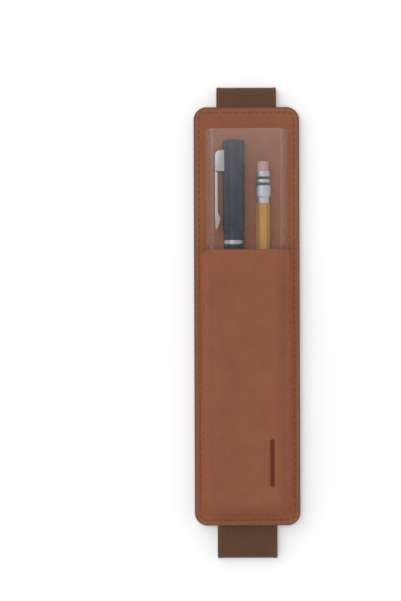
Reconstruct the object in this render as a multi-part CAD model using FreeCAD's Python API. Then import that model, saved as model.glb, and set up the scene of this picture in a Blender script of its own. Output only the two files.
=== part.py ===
import FreeCAD
import Part

import math
import os

# A pen pouch with an elastic notebook band, holding a fountain pen and a pencil.
# Millimetres. The pouch lies on its back: +X right, +Y to the pouch's top, +Z out of its front.
# The origin is under the middle of the band's loop, on the surface that the band lies on.

# Pouch
POUCH_WIDTH = 53.0
POUCH_LENGTH = 210.0
CORNER_RADIUS = 6.5
SKIN = 1.0
EDGE_CHAMFER = 0.4

# Pocket
POCKET_LENGTH = 138.3
SEWN_MARGIN = 3.9
POCKET_LEATHER = 1.0
LINING = 0.6
MOUTH_FACING_LENGTH = 9.0
WALL_LEAN = 14.0
SHOULDER_RADIUS = 5.0
POCKET_CORNER_RADIUS = 8.0
MARGIN_CHAMFER = 1.0

# Blank stamped bar on the pocket
STAMP_WIDTH = 2.4
STAMP_LENGTH = 24.0
STAMP_DEPTH = 0.3
STAMP_FROM_SIDE = 14.3
STAMP_FROM_BOTTOM = 20.0

# Elastic band
BAND_WIDTH = 30.0
BAND_THICKNESS = 1.2
LOOP_GAP = 5.0
BAND_ABOVE_TOP = 10.2
BAND_BELOW_BOTTOM = 16.8
BAND_SEWN_IN = 15.0

# Clear cover
COVER_THICKNESS = 0.4
COVER_GAP = 0.35
COVER_SHOWN = 60.5
COVER_TUCKED = 28.0

# Fit of what lies in the pouch
SIT_GAP = 0.3
HEADROOM = 0.9

# Fountain pen
PEN_LENGTH = 138.0
CAP_ABOVE_MOUTH = 1.0
CAP_DIAMETER = 11.0
CAP_LENGTH = 54.0
CAP_WALL = 1.0
CAP_TOP_WALL = 2.0
CAP_TOP_CHAMFER = 0.9
CAP_LIP = 1.6
CAP_LIP_STEP = 0.6
CAP_RING_WIDTH = 2.2
CAP_RING_RISE = 0.1
CAP_COLLAR_LENGTH = 2.8
CAP_COLLAR_STEP = 0.4
CAP_GROOVE_WIDTH = 1.5
CAP_GROOVE_DEPTH = 0.7
LINER_WALL = 1.0
BARREL_DIAMETER = 10.0
BARREL_END_DIAMETER = 8.2
BARREL_END_CHAMFER = 1.6
BARREL_WALL = 1.25
BARREL_HOLLOW = 56.0
SECTION_LENGTH = 22.0
SECTION_TIP_DIAMETER = 7.2
SECTION_FLARE = 0.3
PLUG_LENGTH = 9.0
SLIDING_GAP = 0.3
RUNNING_GAP = 0.05
NIB_LENGTH = 23.0
NIB_SEATED = 7.0
NIB_DIAMETER = 6.0
NIB_WAIST_INSET = 0.2
NIB_SHEET = 0.35
NIB_SLIT = 0.2
NIB_HOLE_DIAMETER = 1.2
NIB_HOLE_FROM_TIP = 12.0
FEED_LENGTH = 17.0
FIN_SLOT = 0.5
FIN_PITCH = 1.2
FIN_COUNT = 7
CARTRIDGE_DIAMETER = 6.6
CARTRIDGE_LENGTH = 38.0
CARTRIDGE_NECK_DIAMETER = 4.0
CARTRIDGE_NECK_LENGTH = 4.0

# Cap clip
CLIP_REACH = 9.3
CLIP_SIDE_GAP = 2.832
CLIP_FROM_TOP = 5.2
CLIP_HEAD_LENGTH = 10.6
CLIP_HEAD_WIDTH = 6.4
CLIP_HEAD_SLOPE = 1.6
CLIP_LEVER_WIDTH = 3.0
CLIP_LEVER_THICKNESS = 1.6
CLIP_LENGTH = 39.4
CLIP_POINT_LENGTH = 5.2
CLIP_POINT_WIDTH = 0.9
CLIP_POINT_BULGE = 1.4
CLIP_PIN_DIAMETER = 1.0
CLIP_PIN_ABOVE_FOOT = 2.6
CLIP_SLOT_GAP = 0.15

# Pencil
PENCIL_LENGTH = 174.0
PENCIL_RIGHT_OF_MIDDLE = 8.1
PENCIL_ACROSS_CORNERS = 7.3
PENCIL_TIP_GAP = 2.0
PENCIL_CONE_LENGTH = 22.0
LEAD_DIAMETER = 2.2
LEAD_POINT_DIAMETER = 0.5
ERASER_DIAMETER = 6.0
ERASER_SHOWN = 4.9
ERASER_SEATED = 6.0
ERASER_CHAMFER = 0.6
FERRULE_WALL = 0.3
FERRULE_RING_RISE = 0.35
FERRULE_RING_LENGTHS = (3.0, 2.0)
FERRULE_GROOVE_LENGTH = 1.0
COLLAR_DIAMETER = 8.0
COLLAR_LENGTH = 6.1
COLLAR_CHAMFER = 0.5
NECK_LENGTH = 3.0
TENON_GAP = 0.05

# Heights of the layers, from the band's run on the table up to the pen's bed
band_top = BAND_THICKNESS
back_face = band_top + LOOP_GAP
core_low = back_face + SKIN
core_high = core_low + BAND_THICKNESS
bed = core_high + SKIN

# Places along the pouch
loop_length = BAND_ABOVE_TOP + POUCH_LENGTH + BAND_BELOW_BOTTOM
loop_end = loop_length / 2
pouch_top = loop_end - BAND_ABOVE_TOP
pouch_bottom = pouch_top - POUCH_LENGTH
half_width = POUCH_WIDTH / 2
mouth = pouch_bottom + POCKET_LENGTH
cover_top = mouth + COVER_SHOWN
bend_radius = core_high / 2

# Hollow of the pocket at the bed
lean = math.radians(WALL_LEAN)
pocket_wall = POCKET_LEATHER + LINING
hollow_half = half_width - SEWN_MARGIN - pocket_wall / math.cos(lean)
hollow_end = pouch_bottom + SEWN_MARGIN + pocket_wall / math.cos(lean)
hollow_depth = SIT_GAP + CAP_DIAMETER + HEADROOM + COVER_THICKNESS + COVER_GAP

# Pen, placed by its clip's gap to the cover's left side
cap_radius = CAP_DIAMETER / 2
pen_z = bed + SIT_GAP + cap_radius
cover_side = hollow_half - (COVER_GAP + COVER_THICKNESS) / math.cos(lean) - (pen_z - bed) * math.tan(lean)
pen_x = CLIP_REACH + CLIP_SIDE_GAP - cover_side
cap_mouth = mouth + CAP_ABOVE_MOUTH
cap_top = cap_mouth + CAP_LENGTH
cap_bore = cap_radius - CAP_WALL
ring_seat = cap_radius - CAP_LIP_STEP
cap_collar_radius = cap_radius - CAP_COLLAR_STEP
barrel_radius = BARREL_DIAMETER / 2
barrel_bore = barrel_radius - BARREL_WALL
barrel_top = cap_mouth - SLIDING_GAP
section_top = cap_mouth + SECTION_LENGTH
plug_bottom = barrel_top - PLUG_LENGTH
nib_radius = NIB_DIAMETER / 2
feed_radius = nib_radius - NIB_SHEET
nib_tip = section_top + NIB_LENGTH

# Clip, placed from the pen's axis
clip_x = pen_x - CLIP_REACH
clip_high = cap_top - CLIP_FROM_TOP
clip_foot = clip_high - CLIP_HEAD_LENGTH
pin_radius = CLIP_PIN_DIAMETER / 2
pin_x = clip_x + CLIP_LEVER_THICKNESS / 2
pin_y = clip_foot + CLIP_PIN_ABOVE_FOOT

# Pencil
pencil_x = PENCIL_RIGHT_OF_MIDDLE
pencil_z = bed + SIT_GAP + COLLAR_DIAMETER / 2
pencil_tip = hollow_end + (pencil_z - bed) * math.tan(lean) + PENCIL_TIP_GAP
pencil_top = pencil_tip + PENCIL_LENGTH
lead_radius = LEAD_DIAMETER / 2
eraser_radius = ERASER_DIAMETER / 2
ferrule_top = pencil_top - ERASER_SHOWN
ferrule_radius = eraser_radius + FERRULE_WALL
collar_top = ferrule_top - sum(FERRULE_RING_LENGTHS) - FERRULE_GROOVE_LENGTH * len(FERRULE_RING_LENGTHS)
neck_bottom = collar_top - COLLAR_LENGTH - NECK_LENGTH
eraser_bottom = ferrule_top - ERASER_SEATED
tenon_radius = eraser_radius - TENON_GAP

# Directions, how far a cut runs past what it cuts, and how near counts as the same place
UP = FreeCAD.Vector(0, 0, 1)
ALONG = FreeCAD.Vector(0, 1, 0)
CUT_PAST = 1.0
SAME_PLACE = 0.01
above_pocket = bed + 2 * hollow_depth


def block(x_low, x_high, y_low, y_high, z_low, z_high):
    """A plain block between its limits."""
    corner = FreeCAD.Vector(x_low, y_low, z_low)
    return Part.makeBox(x_high - x_low, y_high - y_low, z_high - z_low, corner)


def upright_edges(shape, y_near):
    """The edges of a plate that stand along Z at one end of it."""
    found = []
    for edge in shape.Edges:
        box = edge.BoundBox
        if box.ZLength > box.XLength + box.YLength and abs(box.YMin - y_near) < SAME_PLACE:
            found.append(edge)
    return found


def plate(z_low, thickness, y_low, y_high, rounded_ends):
    """A layer of the pouch at its full width, with round corners at the named ends."""
    shape = block(-half_width, half_width, y_low, y_high, z_low, z_low + thickness)
    for y_end in rounded_ends:
        shape = shape.makeFillet(CORNER_RADIUS, upright_edges(shape, y_end))
    return shape


def rod(radius, x, z, y_low, y_high):
    """A cylinder along the pouch."""
    return Part.makeCylinder(radius, y_high - y_low, FreeCAD.Vector(x, y_low, z), ALONG)


def turned(profile, x, z):
    """A turned piece: its profile of (radius, y) points spun about a line along the pouch."""
    points = [FreeCAD.Vector(x + radius, y, z) for radius, y in profile]
    face = Part.Face(Part.makePolygon(points + points[:1]))
    return face.revolve(FreeCAD.Vector(x, 0, z), ALONG, 360)


def ring_edges(shape, radius, y, x, z):
    """The round edges of a turned piece with one radius and place."""
    found = []
    for edge in shape.Edges:
        curve = edge.Curve
        if not isinstance(curve, Part.Circle):
            continue
        on_axis = math.hypot(curve.Center.x - x, curve.Center.z - z) < SAME_PLACE
        same_ring = abs(curve.Radius - radius) < SAME_PLACE and abs(curve.Center.y - y) < SAME_PLACE
        if on_axis and same_ring:
            found.append(edge)
    return found


def pocket_profile(outset, place):
    """Half the pocket's section, from its flat top out to its foot.

    place turns a reach and a height in the section into a point.
    """
    foot = POCKET_CORNER_RADIUS + outset / math.cos(lean)
    depth = hollow_depth + outset
    shoulder = SHOULDER_RADIUS + outset
    centre_height = depth - shoulder
    centre_reach = foot - centre_height * math.tan(lean) - shoulder / math.cos(lean)
    arc_points = []
    for angle in (math.pi / 2, (math.pi / 2 + lean) / 2, lean):
        reach = centre_reach + shoulder * math.cos(angle)
        arc_points.append(place(reach, centre_height + shoulder * math.sin(angle)))
    edges = [
        Part.makeLine(place(0, 0), place(0, depth)),
        Part.makeLine(place(0, depth), arc_points[0]),
        Part.Arc(*arc_points).toShape(),
        Part.makeLine(arc_points[2], place(foot, 0)),
        Part.makeLine(place(foot, 0), place(0, 0)),
    ]
    return Part.Face(Part.Wire(edges))


def pocket_form(outset, y_open):
    """The pocket's hollow, grown by outset on every face and left open at y_open."""
    corner_x = hollow_half - POCKET_CORNER_RADIUS
    corner_y = hollow_end + POCKET_CORNER_RADIUS
    form = block(-corner_x, corner_x, corner_y, y_open, bed, bed + hollow_depth + outset)
    for side in (-1, 1):
        x = side * corner_x
        section = pocket_profile(
            outset, lambda reach, z: FreeCAD.Vector(x + side * reach, corner_y, bed + z)
        )
        form = form.fuse(section.extrude(ALONG * (y_open - corner_y)))
        form = form.fuse(section.revolve(FreeCAD.Vector(x, corner_y, bed), UP, -90 * side))
    section = pocket_profile(
        outset, lambda reach, z: FreeCAD.Vector(-corner_x, corner_y - reach, bed + z)
    )
    form = form.fuse(section.extrude(FreeCAD.Vector(2 * corner_x, 0, 0)))
    return form.removeSplitter()


def pocket_skin(inside, outside, y_low, y_high):
    """The part of the pocket's wall between two outsets and two places along the pouch."""
    skin = pocket_form(outside, y_high).cut(pocket_form(inside, y_high))
    return skin.common(block(-half_width, half_width, y_low, y_high, bed, above_pocket))


def make_back_panel():
    panel = plate(back_face, SKIN, pouch_bottom, pouch_top, (pouch_bottom, pouch_top))
    rear = [edge for edge in panel.Edges if edge.BoundBox.ZMax < back_face + SAME_PLACE]
    return panel.makeChamfer(EDGE_CHAMFER, rear)


def make_stiffener_board():
    board = plate(core_low, BAND_THICKNESS, pouch_bottom, pouch_top, (pouch_bottom, pouch_top))
    half_band = BAND_WIDTH / 2
    for y_low, y_high in (
        (pouch_top - BAND_SEWN_IN, pouch_top + CUT_PAST),
        (pouch_bottom - CUT_PAST, pouch_bottom + BAND_SEWN_IN),
    ):
        board = board.cut(block(-half_band, half_band, y_low, y_high, core_low, core_high))
    return board


def make_facing_panel():
    return plate(core_high, SKIN, pouch_bottom, pouch_top, (pouch_bottom, pouch_top))


def make_front_pocket():
    margin = plate(bed, POCKET_LEATHER, pouch_bottom, mouth, (pouch_bottom,))
    pocket = margin.fuse(pocket_form(pocket_wall, mouth))
    pocket = pocket.cut(pocket_form(LINING, mouth)).removeSplitter()
    level = bed + POCKET_LEATHER
    inside = half_width - SEWN_MARGIN / 2
    inner_corner = []
    for edge in pocket.Edges:
        box = edge.BoundBox
        on_margin = abs(box.ZMin - level) < SAME_PLACE and abs(box.ZMax - level) < SAME_PLACE
        off_outline = max(-box.XMin, box.XMax) < inside and box.YMin > pouch_bottom + SEWN_MARGIN / 2
        off_mouth = box.YMin < mouth - SAME_PLACE
        if on_margin and off_outline and off_mouth:
            inner_corner.append(edge)
    pocket = pocket.makeChamfer(MARGIN_CHAMFER, inner_corner)
    return pocket.cut(make_stamp())


def make_stamp():
    """A shallow blank bar pressed into the pocket's front, with round ends."""
    radius = STAMP_WIDTH / 2
    x = half_width - STAMP_FROM_SIDE
    y_low = pouch_bottom + STAMP_FROM_BOTTOM + radius
    y_high = y_low + STAMP_LENGTH - STAMP_WIDTH
    bar = block(x - radius, x + radius, y_low, y_high, bed, above_pocket)
    for y in (y_low, y_high):
        bar = bar.fuse(Part.makeCylinder(radius, above_pocket - bed, FreeCAD.Vector(x, y, bed), UP))
    return bar.cut(pocket_form(pocket_wall - STAMP_DEPTH, mouth))


def make_mouth_facing():
    return pocket_skin(0, LINING, mouth - MOUTH_FACING_LENGTH, mouth)


def make_pocket_lining():
    return pocket_skin(0, LINING, pouch_bottom, mouth - MOUTH_FACING_LENGTH)


def make_clear_cover():
    outside = pocket_form(-COVER_GAP, cover_top)
    inside = pocket_form(-COVER_GAP - COVER_THICKNESS, cover_top)
    cover_low = mouth - COVER_TUCKED
    reach = block(-half_width, half_width, cover_low, cover_top, bed + SIT_GAP, above_pocket)
    return outside.cut(inside).common(reach)


def band_strip(y_low, y_high, z_low):
    """A flat run of the band."""
    return block(-BAND_WIDTH / 2, BAND_WIDTH / 2, y_low, y_high, z_low, z_low + BAND_THICKNESS)


def make_band_anchor(edge_y, reach, outward):
    """One sewn end of the band: from between the skins out to where the bend starts."""
    ends = sorted((edge_y - outward * BAND_SEWN_IN, edge_y + outward * (reach - bend_radius)))
    return band_strip(ends[0], ends[1], core_low)


def make_band_bend(outward):
    """Half a turn of the band around the notebook's edge."""
    y = outward * (loop_end - bend_radius)
    start = FreeCAD.Vector(-BAND_WIDTH / 2, y, bend_radius)
    across = FreeCAD.Vector(1, 0, 0)
    ring = Part.makeCylinder(bend_radius, BAND_WIDTH, start, across)
    ring = ring.cut(Part.makeCylinder(bend_radius - BAND_THICKNESS, BAND_WIDTH, start, across))
    ends = sorted((y, y + outward * bend_radius))
    return ring.common(block(-BAND_WIDTH / 2, BAND_WIDTH / 2, ends[0], ends[1], 0, core_high))


def make_band_back():
    straight = loop_end - bend_radius
    return band_strip(-straight, straight, 0)


def make_pen_cap():
    ring_top = cap_mouth + CAP_LIP + CAP_RING_WIDTH
    groove_low = ring_top + CAP_COLLAR_LENGTH
    groove_high = groove_low + CAP_GROOVE_WIDTH
    groove = cap_radius - CAP_GROOVE_DEPTH
    inner_top = cap_top - CAP_TOP_WALL
    profile = [
        (cap_bore, cap_mouth),
        (ring_seat, cap_mouth),
        (ring_seat, ring_top),
        (cap_collar_radius, ring_top),
        (cap_collar_radius, groove_low),
        (groove, groove_low),
        (groove, groove_high),
        (cap_radius, groove_high),
        (cap_radius, cap_top),
        (0, cap_top),
        (0, inner_top),
        (cap_bore, inner_top),
    ]
    cap = turned(profile, pen_x, pen_z)
    return cap.makeChamfer(CAP_TOP_CHAMFER, ring_edges(cap, cap_radius, cap_top, pen_x, pen_z))


def make_cap_liner():
    low = section_top + SLIDING_GAP
    inner_top = cap_top - CAP_TOP_WALL
    tube = rod(cap_bore, pen_x, pen_z, low, inner_top)
    return tube.cut(rod(cap_bore - LINER_WALL, pen_x, pen_z, low, inner_top))


def make_cap_ring():
    low = cap_mouth + CAP_LIP
    high = low + CAP_RING_WIDTH
    ring = rod(cap_collar_radius + CAP_RING_RISE, pen_x, pen_z, low, high)
    return ring.cut(rod(ring_seat, pen_x, pen_z, low, high))


def make_clip_head():
    """A block on the cap's side, forked below for the lever."""
    half = CLIP_HEAD_WIDTH / 2
    outline = [
        (clip_x, clip_foot),
        (pen_x, clip_foot),
        (pen_x, clip_high),
        (clip_x + CLIP_LEVER_THICKNESS, clip_high),
        (clip_x, clip_high - CLIP_HEAD_SLOPE),
    ]
    points = [FreeCAD.Vector(x, y, pen_z - half) for x, y in outline]
    face = Part.Face(Part.makePolygon(points + points[:1]))
    head = face.extrude(UP * CLIP_HEAD_WIDTH)
    head = head.cut(rod(cap_radius, pen_x, pen_z, clip_foot - CUT_PAST, clip_high + CUT_PAST))
    slot_half = CLIP_LEVER_WIDTH / 2 + CLIP_SLOT_GAP
    slot_deep = pin_x + CLIP_LEVER_THICKNESS / 2 + SLIDING_GAP
    slot_high = pin_y + CLIP_LEVER_THICKNESS / 2 + SLIDING_GAP
    slot_low = clip_foot - CUT_PAST
    slot_open = clip_x - CUT_PAST
    slot = block(slot_open, slot_deep, slot_low, slot_high, pen_z - slot_half, pen_z + slot_half)
    return head.cut(slot).cut(make_clip_pin())


def make_clip_pin():
    start = FreeCAD.Vector(pin_x, pin_y, pen_z - CLIP_HEAD_WIDTH / 2)
    return Part.makeCylinder(pin_radius, CLIP_HEAD_WIDTH, start, UP)


def make_clip_lever():
    """A straight lever hung on the pin, with a narrow foot that swells towards the cap."""
    outer = clip_x
    inner = clip_x + CLIP_LEVER_THICKNESS
    point_y = clip_high - CLIP_LENGTH
    swell_y = point_y + CLIP_POINT_LENGTH
    low = pen_z - CLIP_LEVER_WIDTH / 2
    outline = [
        (outer, pin_y),
        (outer, swell_y),
        (pin_x - CLIP_POINT_WIDTH / 2, point_y),
        (pin_x + CLIP_POINT_WIDTH / 2, point_y),
        (inner + CLIP_POINT_BULGE, swell_y),
        (inner, swell_y + CLIP_POINT_LENGTH / 2),
        (inner, pin_y),
    ]
    points = [FreeCAD.Vector(x, y, low) for x, y in outline]
    lever = Part.Face(Part.makePolygon(points + points[:1])).extrude(UP * CLIP_LEVER_WIDTH)
    centre = FreeCAD.Vector(pin_x, pin_y, low)
    lever = lever.fuse(Part.makeCylinder(CLIP_LEVER_THICKNESS / 2, CLIP_LEVER_WIDTH, centre, UP))
    hole = Part.makeCylinder(pin_radius + RUNNING_GAP, CLIP_LEVER_WIDTH, centre, UP)
    return lever.cut(hole).removeSplitter()


def make_pen_barrel():
    end = cap_mouth - (PEN_LENGTH - CAP_LENGTH)
    end_radius = BARREL_END_DIAMETER / 2
    hollow_low = barrel_top - BARREL_HOLLOW
    profile = [
        (0, end),
        (end_radius, end),
        (barrel_radius, hollow_low),
        (barrel_radius, barrel_top),
        (barrel_bore, barrel_top),
        (barrel_bore, hollow_low),
        (0, hollow_low),
    ]
    barrel = turned(profile, pen_x, pen_z)
    return barrel.makeChamfer(BARREL_END_CHAMFER, ring_edges(barrel, end_radius, end, pen_x, pen_z))


def make_pen_section():
    """The grip, with a plug for the barrel and sockets for the feed and the cartridge."""
    plug = barrel_bore - RUNNING_GAP
    root = cap_bore - SLIDING_GAP
    tip = SECTION_TIP_DIAMETER / 2
    flare = tip + SECTION_FLARE
    socket = CARTRIDGE_NECK_DIAMETER / 2
    profile = [
        (0, plug_bottom + CARTRIDGE_NECK_LENGTH),
        (socket, plug_bottom + CARTRIDGE_NECK_LENGTH),
        (socket, plug_bottom),
        (plug, plug_bottom),
        (plug, barrel_top),
        (root, barrel_top),
        (root, cap_mouth + SLIDING_GAP),
        (tip, section_top - 3 * SECTION_FLARE),
        (flare, section_top - SECTION_FLARE),
        (flare, section_top),
        (nib_radius, section_top),
        (nib_radius, section_top - NIB_SEATED),
        (0, section_top - NIB_SEATED),
    ]
    return turned(profile, pen_x, pen_z)


def make_pen_feed():
    """A round feed cut to a slope underneath, with fins across it."""
    low = section_top - NIB_SEATED
    high = section_top + FEED_LENGTH
    feed = rod(feed_radius, pen_x, pen_z, low, high)
    below = pen_z - feed_radius
    slope = [
        FreeCAD.Vector(pen_x - nib_radius, section_top + FIN_PITCH * (FIN_COUNT + 1), below),
        FreeCAD.Vector(pen_x - nib_radius, high, pen_z + feed_radius / 2),
        FreeCAD.Vector(pen_x - nib_radius, high, below),
    ]
    wedge = Part.Face(Part.makePolygon(slope + slope[:1])).extrude(FreeCAD.Vector(NIB_DIAMETER, 0, 0))
    feed = feed.cut(wedge)
    for number in range(FIN_COUNT):
        y = section_top + FIN_PITCH * (number + 0.5)
        fin_root = pen_z - feed_radius / 3
        feed = feed.cut(block(pen_x - nib_radius, pen_x + nib_radius, y, y + FIN_SLOT, below, fin_root))
    return feed


def make_pen_nib():
    """A curved sheet over the feed, drawn to a point, with a breather hole and a slit."""
    low = section_top - NIB_SEATED
    shell = rod(nib_radius, pen_x, pen_z, low, nib_tip).cut(rod(feed_radius, pen_x, pen_z, low, nib_tip))
    shoulder = section_top + NIB_LENGTH / 3
    waist = nib_radius - NIB_WAIST_INSET
    point = NIB_SLIT * 2
    outline = [
        (-waist, low),
        (waist, low),
        (waist, section_top),
        (nib_radius, shoulder),
        (point, nib_tip),
        (-point, nib_tip),
        (-nib_radius, shoulder),
        (-waist, section_top),
    ]
    points = [FreeCAD.Vector(pen_x + x, y, pen_z) for x, y in outline]
    face = Part.Face(Part.makePolygon(points + points[:1]))
    nib = shell.common(face.extrude(UP * NIB_DIAMETER))
    hole_y = nib_tip - NIB_HOLE_FROM_TIP
    hole_centre = FreeCAD.Vector(pen_x, hole_y, pen_z)
    hole = Part.makeCylinder(NIB_HOLE_DIAMETER / 2, NIB_DIAMETER, hole_centre, UP)
    slit_left = pen_x - NIB_SLIT / 2
    slit_end = nib_tip + CUT_PAST
    slit = block(slit_left, slit_left + NIB_SLIT, hole_y, slit_end, pen_z, pen_z + NIB_DIAMETER)
    return nib.cut(hole).cut(slit)


def make_ink_cartridge():
    body_top = plug_bottom
    radius = CARTRIDGE_DIAMETER / 2
    body = rod(radius, pen_x, pen_z, body_top - CARTRIDGE_LENGTH, body_top)
    neck = rod(CARTRIDGE_NECK_DIAMETER / 2, pen_x, pen_z, body_top, body_top + CARTRIDGE_NECK_LENGTH)
    return body.fuse(neck).removeSplitter()


def make_pencil_point(radius):
    """The sharpened form: a cone from the lead's point out to the given radius, then straight."""
    slope = (PENCIL_ACROSS_CORNERS - LEAD_POINT_DIAMETER) / 2 / PENCIL_CONE_LENGTH
    point = LEAD_POINT_DIAMETER / 2
    profile = [
        (0, pencil_tip),
        (point, pencil_tip),
        (radius, pencil_tip + (radius - point) / slope),
        (radius, neck_bottom),
        (0, neck_bottom),
    ]
    return turned(profile, pencil_x, pencil_z)


def make_pencil_casing():
    """Six flat sides, sharpened to a cone below and turned down to a tenon for the ferrule above."""
    corners = []
    for number in range(6):
        angle = math.radians(60 * number)
        x = pencil_x + PENCIL_ACROSS_CORNERS / 2 * math.cos(angle)
        z = pencil_z + PENCIL_ACROSS_CORNERS / 2 * math.sin(angle)
        corners.append(FreeCAD.Vector(x, pencil_tip, z))
    hexagon = Part.Face(Part.makePolygon(corners + corners[:1]))
    body = hexagon.extrude(ALONG * (neck_bottom - pencil_tip))
    body = body.common(make_pencil_point(PENCIL_ACROSS_CORNERS))
    body = body.fuse(rod(tenon_radius, pencil_x, pencil_z, neck_bottom, eraser_bottom))
    return body.cut(rod(lead_radius, pencil_x, pencil_z, pencil_tip, eraser_bottom)).removeSplitter()


def make_pencil_lead():
    point = make_pencil_point(lead_radius)
    return point.fuse(rod(lead_radius, pencil_x, pencil_z, neck_bottom, eraser_bottom)).removeSplitter()


def make_pencil_ferrule():
    """A thin sleeve with raised rings, a wide collar and a plain neck."""
    ring_radius = ferrule_radius + FERRULE_RING_RISE
    profile = [(eraser_radius, neck_bottom), (eraser_radius, ferrule_top)]
    y = ferrule_top
    for length in FERRULE_RING_LENGTHS:
        profile.append((ring_radius, y))
        profile.append((ring_radius, y - length))
        profile.append((ferrule_radius, y - length))
        y -= length + FERRULE_GROOVE_LENGTH
        profile.append((ferrule_radius, y))
    collar_radius = COLLAR_DIAMETER / 2
    collar_bottom = y - COLLAR_LENGTH
    profile += [
        (collar_radius, y),
        (collar_radius, collar_bottom),
        (ferrule_radius, collar_bottom),
        (ferrule_radius, neck_bottom),
    ]
    ferrule = turned(profile, pencil_x, pencil_z)
    rims = ring_edges(ferrule, collar_radius, y, pencil_x, pencil_z)
    rims += ring_edges(ferrule, collar_radius, collar_bottom, pencil_x, pencil_z)
    return ferrule.makeChamfer(COLLAR_CHAMFER, rims)


def make_pencil_eraser():
    eraser = rod(eraser_radius, pencil_x, pencil_z, eraser_bottom, pencil_top)
    rim = ring_edges(eraser, eraser_radius, pencil_top, pencil_x, pencil_z)
    return eraser.makeChamfer(ERASER_CHAMFER, rim)


nodes = {
    "back_panel": make_back_panel(),
    "stiffener_board": make_stiffener_board(),
    "facing_panel": make_facing_panel(),
    "front_pocket": make_front_pocket(),
    "mouth_facing": make_mouth_facing(),
    "pocket_lining": make_pocket_lining(),
    "clear_cover": make_clear_cover(),
    "band_top_anchor": make_band_anchor(pouch_top, BAND_ABOVE_TOP, 1),
    "band_top_bend": make_band_bend(1),
    "band_back": make_band_back(),
    "band_bottom_bend": make_band_bend(-1),
    "band_bottom_anchor": make_band_anchor(pouch_bottom, BAND_BELOW_BOTTOM, -1),
    "pen_barrel": make_pen_barrel(),
    "pen_section": make_pen_section(),
    "pen_feed": make_pen_feed(),
    "pen_nib": make_pen_nib(),
    "ink_cartridge": make_ink_cartridge(),
    "pen_cap": make_pen_cap(),
    "cap_liner": make_cap_liner(),
    "cap_ring": make_cap_ring(),
    "clip_head": make_clip_head(),
    "clip_pin": make_clip_pin(),
    "clip_lever": make_clip_lever(),
    "pencil_casing": make_pencil_casing(),
    "pencil_lead": make_pencil_lead(),
    "pencil_ferrule": make_pencil_ferrule(),
    "pencil_eraser": make_pencil_eraser(),
}

os.makedirs("parts", exist_ok=True)
for name, shape in nodes.items():
    shape.exportStep("parts/" + name + ".step")
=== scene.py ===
import math

import bmesh
import bpy
from mathutils import Matrix, Vector, noise


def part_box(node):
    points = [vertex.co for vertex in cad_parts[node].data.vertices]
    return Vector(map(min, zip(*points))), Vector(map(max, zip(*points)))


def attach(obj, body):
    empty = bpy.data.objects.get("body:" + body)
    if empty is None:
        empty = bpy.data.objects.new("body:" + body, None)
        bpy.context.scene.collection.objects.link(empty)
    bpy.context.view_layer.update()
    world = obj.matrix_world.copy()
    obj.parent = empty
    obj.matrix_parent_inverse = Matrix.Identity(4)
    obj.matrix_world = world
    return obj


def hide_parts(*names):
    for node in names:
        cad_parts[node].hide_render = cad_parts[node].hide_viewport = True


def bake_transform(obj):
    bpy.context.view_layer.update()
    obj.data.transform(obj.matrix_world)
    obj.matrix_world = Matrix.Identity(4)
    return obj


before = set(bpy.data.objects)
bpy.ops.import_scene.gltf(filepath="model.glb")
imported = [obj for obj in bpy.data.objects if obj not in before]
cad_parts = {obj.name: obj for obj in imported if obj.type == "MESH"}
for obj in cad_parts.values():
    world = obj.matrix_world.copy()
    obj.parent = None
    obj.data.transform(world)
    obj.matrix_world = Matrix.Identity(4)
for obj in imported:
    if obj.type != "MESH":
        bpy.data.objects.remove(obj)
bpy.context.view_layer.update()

# Back panel
# The skin that lies against the notebook: fine-grained brown leatherette, die cut with round corners.
# Its cut edge is rubbed round, and the sewing pulls a shallow groove along it.

mm = 0.001
same_place = mm / 100
weld = mm / 1000
sharp_angle = math.radians(60)
panel_corner = 6.5 * mm
panel_edge_round = 0.35 * mm
rubbed_rim = 1.4 * mm
groove_out = 2.1 * mm
seam_inset = 2.65 * mm
groove_in = 3.2 * mm
plain_start = 5.3 * mm
seam_dip = 0.18 * mm
on_seam = 0.5
seam_slack = 0.001
plain = 0.66
# Ramp place of the painted light on the pocket's wall.
wall_painted_light = 1.0


def seen(red, green, blue):
    """A colour as a screen shows it, 0 to 255, in the linear values that a shader takes."""
    linear = []
    for level in (red, green, blue):
        share = level / 255
        linear.append(share / 12.92 if share < 0.04045 else ((share + 0.055) / 1.055) ** 2.4)
    return (*linear, 1.0)


def fill(tree, node, inputs):
    """Sets a shader node's inputs to values, or links them from other nodes' outputs."""
    for name, value in inputs.items():
        if isinstance(value, bpy.types.NodeSocket):
            tree.links.new(value, node.inputs[name])
        else:
            node.inputs[name].default_value = value


def put(tree, kind, inputs=None, **settings):
    """Adds a shader node with its settings and inputs."""
    node = tree.nodes.new("ShaderNode" + kind)
    for name, value in settings.items():
        setattr(node, name, value)
    fill(tree, node, inputs or {})
    return node


def spread(tree, value, low, high, to_low, to_high):
    """A value moved from one range to another, and held inside it."""
    limits = {"Value": value, "From Min": low, "From Max": high, "To Min": to_low, "To Max": to_high}
    return put(tree, "MapRange", limits).outputs["Result"]


def vary(tree, texture, least, most):
    """A noise texture's usual range, moved to another."""
    return spread(tree, texture, 0.3, 0.7, least, most)


def combine(tree, operation, first, second):
    """Two values put together by arithmetic."""
    return put(tree, "Math", {0: first, 1: second}, operation=operation).outputs[0]


def shade(tree, colour, amount):
    """A colour made lighter or darker by an amount that varies over the surface."""
    colour = colour if isinstance(colour, bpy.types.NodeSocket) else colour[:3]
    return put(tree, "VectorMath", {0: colour, "Scale": amount}, operation="SCALE").outputs[0]


def mix(tree, share, first, second):
    """A colour between two others."""
    return put(tree, "Mix", {0: share, 6: first, 7: second}, data_type="RGBA").outputs[2]


def ramp(tree, value, stops):
    """Colours that follow a value, from (place, colour) stops."""
    node = put(tree, "ValToRGB", {"Fac": value})
    points = node.color_ramp.elements
    while len(points) < len(stops):
        points.new(1.0)
    for point, (place, colour) in zip(points, stops):
        point.position = place
        point.color = colour
    return node.outputs["Color"]


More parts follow.
